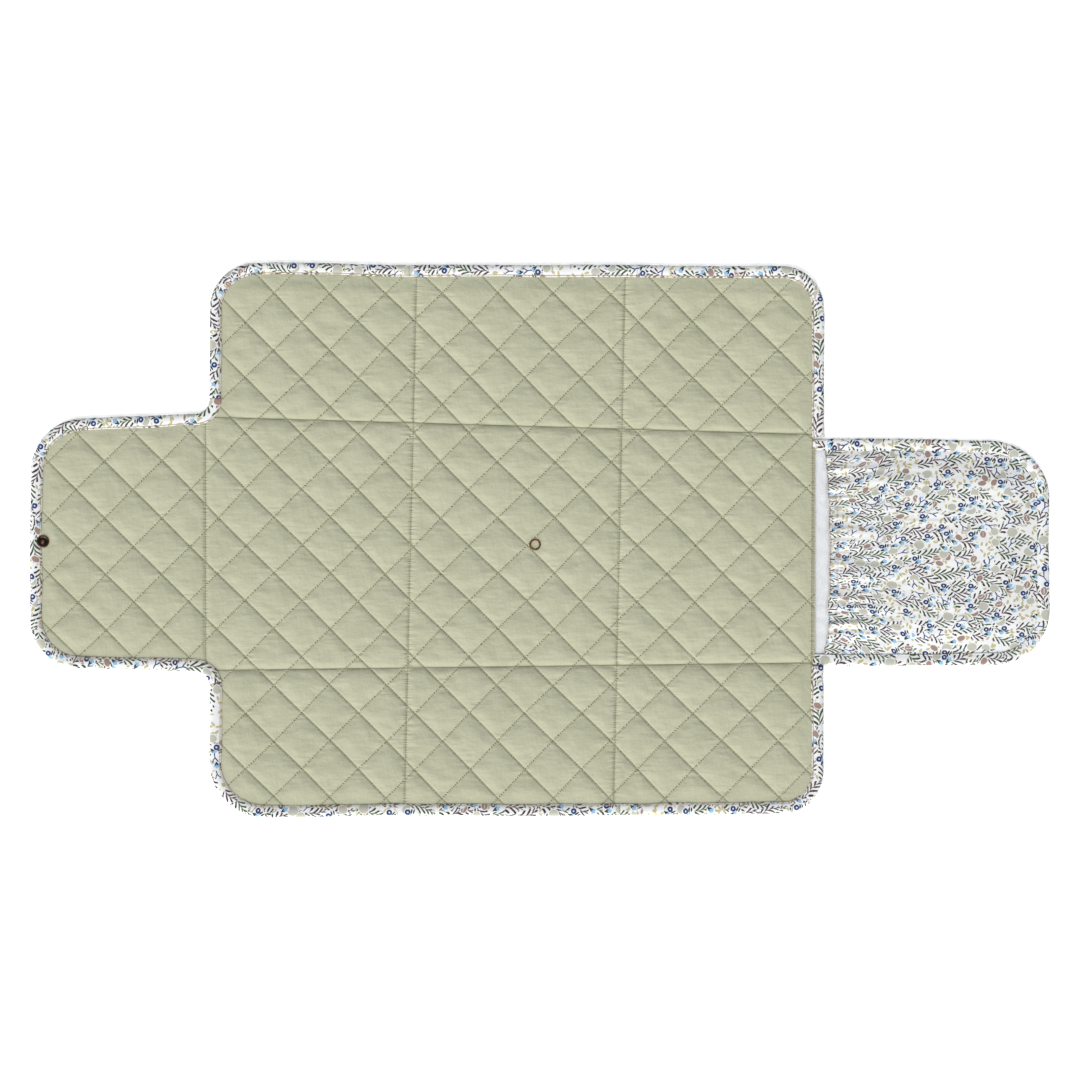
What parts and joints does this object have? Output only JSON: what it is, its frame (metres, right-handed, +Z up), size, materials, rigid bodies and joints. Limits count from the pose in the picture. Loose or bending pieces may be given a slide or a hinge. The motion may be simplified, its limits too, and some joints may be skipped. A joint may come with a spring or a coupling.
{
  "type": "quilted changing pad",
  "caption": "Fold-up quilted changing pad with a snap-closing flap and a gathered pocket, bound in printed cotton and laid open flat.",
  "frame": {"origin": "centre of the pad's outline, on the surface that the open pad lies on", "axes": "+X from the closing flap to the pocket, +Y across the pad, +Z up out of the lying surface"},
  "size_m": [0.92, 0.5, 0.009],
  "materials": {
    "sage_cotton": "fine woven matt cotton, sage green",
    "floral_cotton": "white cotton with a small leaf and flower print",
    "white_lining": "soft white brushed lining",
    "batting": "white fibre batting",
    "elastic": "white woven elastic",
    "antique_brass": "darkened antique brass with rubbed edges"
  },
  "bodies": {
    "middle_center": {"middle_center_face_cloth": "sage_cotton", "middle_center_batting": "batting", "middle_center_back_cloth": "floral_cotton", "snap_socket": "antique_brass", "snap_ring": "antique_brass"},
    "middle_left": {"middle_left_face_cloth": "sage_cotton", "middle_left_batting": "batting", "middle_left_back_cloth": "floral_cotton"},
    "middle_right": {"middle_right_face_cloth": "sage_cotton", "middle_right_batting": "batting", "middle_right_back_cloth": "floral_cotton"},
    "closing_flap": {"flap_face_cloth": "sage_cotton", "flap_batting": "batting", "flap_back_cloth": "floral_cotton", "flap_binding": "floral_cotton", "snap_stud": "antique_brass", "snap_cap": "antique_brass"},
    "pocket_panel": {"pocket_back_cloth": "floral_cotton", "pocket_lining": "white_lining", "pocket_front_cloth": "floral_cotton", "pocket_elastic": "elastic", "pocket_binding": "floral_cotton"},
    "top_left": {"top_left_face_cloth": "sage_cotton", "top_left_batting": "batting", "top_left_back_cloth": "floral_cotton", "top_left_binding": "floral_cotton"},
    "top_center": {"top_center_face_cloth": "sage_cotton", "top_center_batting": "batting", "top_center_back_cloth": "floral_cotton", "top_center_binding": "floral_cotton"},
    "top_right": {"top_right_face_cloth": "sage_cotton", "top_right_batting": "batting", "top_right_back_cloth": "floral_cotton", "top_right_binding": "floral_cotton"},
    "top_left_crease": {"top_left_crease_strip": "sage_cotton"},
    "top_right_crease": {"top_right_crease_strip": "sage_cotton"},
    "bottom_left": {"bottom_left_face_cloth": "sage_cotton", "bottom_left_batting": "batting", "bottom_left_back_cloth": "floral_cotton", "bottom_left_binding": "floral_cotton"},
    "bottom_center": {"bottom_center_face_cloth": "sage_cotton", "bottom_center_batting": "batting", "bottom_center_back_cloth": "floral_cotton", "bottom_center_binding": "floral_cotton"},
    "bottom_right": {"bottom_right_face_cloth": "sage_cotton", "bottom_right_batting": "batting", "bottom_right_back_cloth": "floral_cotton", "bottom_right_binding": "floral_cotton"},
    "bottom_left_crease": {"bottom_left_crease_strip": "sage_cotton"},
    "bottom_right_crease": {"bottom_right_crease_strip": "sage_cotton"}
  },
  "joints": [
    {"name": "fold_top", "type": "hinge", "parent": "middle_center", "child": "top_center", "pos_m": [-0.0225, 0.104, 0.00615], "axis": [1, 0, 0], "range_deg": [0, 179.9]},
    {"name": "fold_top_left", "type": "hinge", "parent": "middle_left", "child": "top_left", "pos_m": [-0.2085, 0.104, 0.00615], "axis": [1, 0, 0], "range_deg": [0, 179.9]},
    {"name": "fold_top_right", "type": "hinge", "parent": "middle_right", "child": "top_right", "pos_m": [0.1595, 0.104, 0.00615], "axis": [1, 0, 0], "range_deg": [0, 179.9]},
    {"name": "fold_bottom", "type": "hinge", "parent": "middle_center", "child": "bottom_center", "pos_m": [-0.0225, -0.114, 0.0093], "axis": [-1, 0, 0], "range_deg": [0, 179.9]},
    {"name": "fold_bottom_left", "type": "hinge", "parent": "middle_left", "child": "bottom_left", "pos_m": [-0.2085, -0.114, 0.0093], "axis": [-1, 0, 0], "range_deg": [0, 179.9]},
    {"name": "fold_bottom_right", "type": "hinge", "parent": "middle_right", "child": "bottom_right", "pos_m": [0.1595, -0.114, 0.0093], "axis": [-1, 0, 0], "range_deg": [0, 179.9]},
    {"name": "fold_left", "type": "hinge", "parent": "middle_center", "child": "middle_left", "pos_m": [-0.117, -0.005, 0.0093], "axis": [0, -1, 0], "range_deg": [-179.9, 0]},
    {"name": "fold_right", "type": "hinge", "parent": "middle_center", "child": "middle_right", "pos_m": [0.072, -0.005, 0.01395], "axis": [0, 1, 0], "range_deg": [-179.9, 0]},
    {"name": "fold_flap", "type": "hinge", "parent": "middle_left", "child": "closing_flap", "pos_m": [-0.3, 0, 0.00615], "axis": [0, -1, 0], "range_deg": [-179.9, 0]},
    {"name": "fold_pocket", "type": "hinge", "parent": "middle_right", "child": "pocket_panel", "pos_m": [0.247, -0.01, 0.01395], "axis": [0, -1, 0], "range_deg": [0, 179.9]},
    {"name": "fold_top_left_crease", "type": "hinge", "parent": "top_center", "child": "top_left_crease", "pos_m": [-0.117, 0.177, 0.0093], "axis": [0, -1, 0], "range_deg": [-179.9, 0]},
    {"name": "fold_top_right_crease", "type": "hinge", "parent": "top_center", "child": "top_right_crease", "pos_m": [0.072, 0.177, 0.01395], "axis": [0, 1, 0], "range_deg": [-179.9, 0]},
    {"name": "fold_bottom_left_crease", "type": "hinge", "parent": "bottom_center", "child": "bottom_left_crease", "pos_m": [-0.117, -0.182, 0.0093], "axis": [0, -1, 0], "range_deg": [-179.9, 0]},
    {"name": "fold_bottom_right_crease", "type": "hinge", "parent": "bottom_center", "child": "bottom_right_crease", "pos_m": [0.072, -0.182, 0.01395], "axis": [0, 1, 0], "range_deg": [-179.9, 0]}
  ],
  "couplings": [
    {"joint": "fold_top_left", "follows": "fold_top", "ratio": 1},
    {"joint": "fold_top_left_crease", "follows": "fold_left", "ratio": 1},
    {"joint": "fold_top_right", "follows": "fold_top", "ratio": 1},
    {"joint": "fold_top_right_crease", "follows": "fold_right", "ratio": 1},
    {"joint": "fold_bottom_left", "follows": "fold_bottom", "ratio": 1},
    {"joint": "fold_bottom_left_crease", "follows": "fold_left", "ratio": 1},
    {"joint": "fold_bottom_right", "follows": "fold_bottom", "ratio": 1},
    {"joint": "fold_bottom_right_crease", "follows": "fold_right", "ratio": 1}
  ]
}
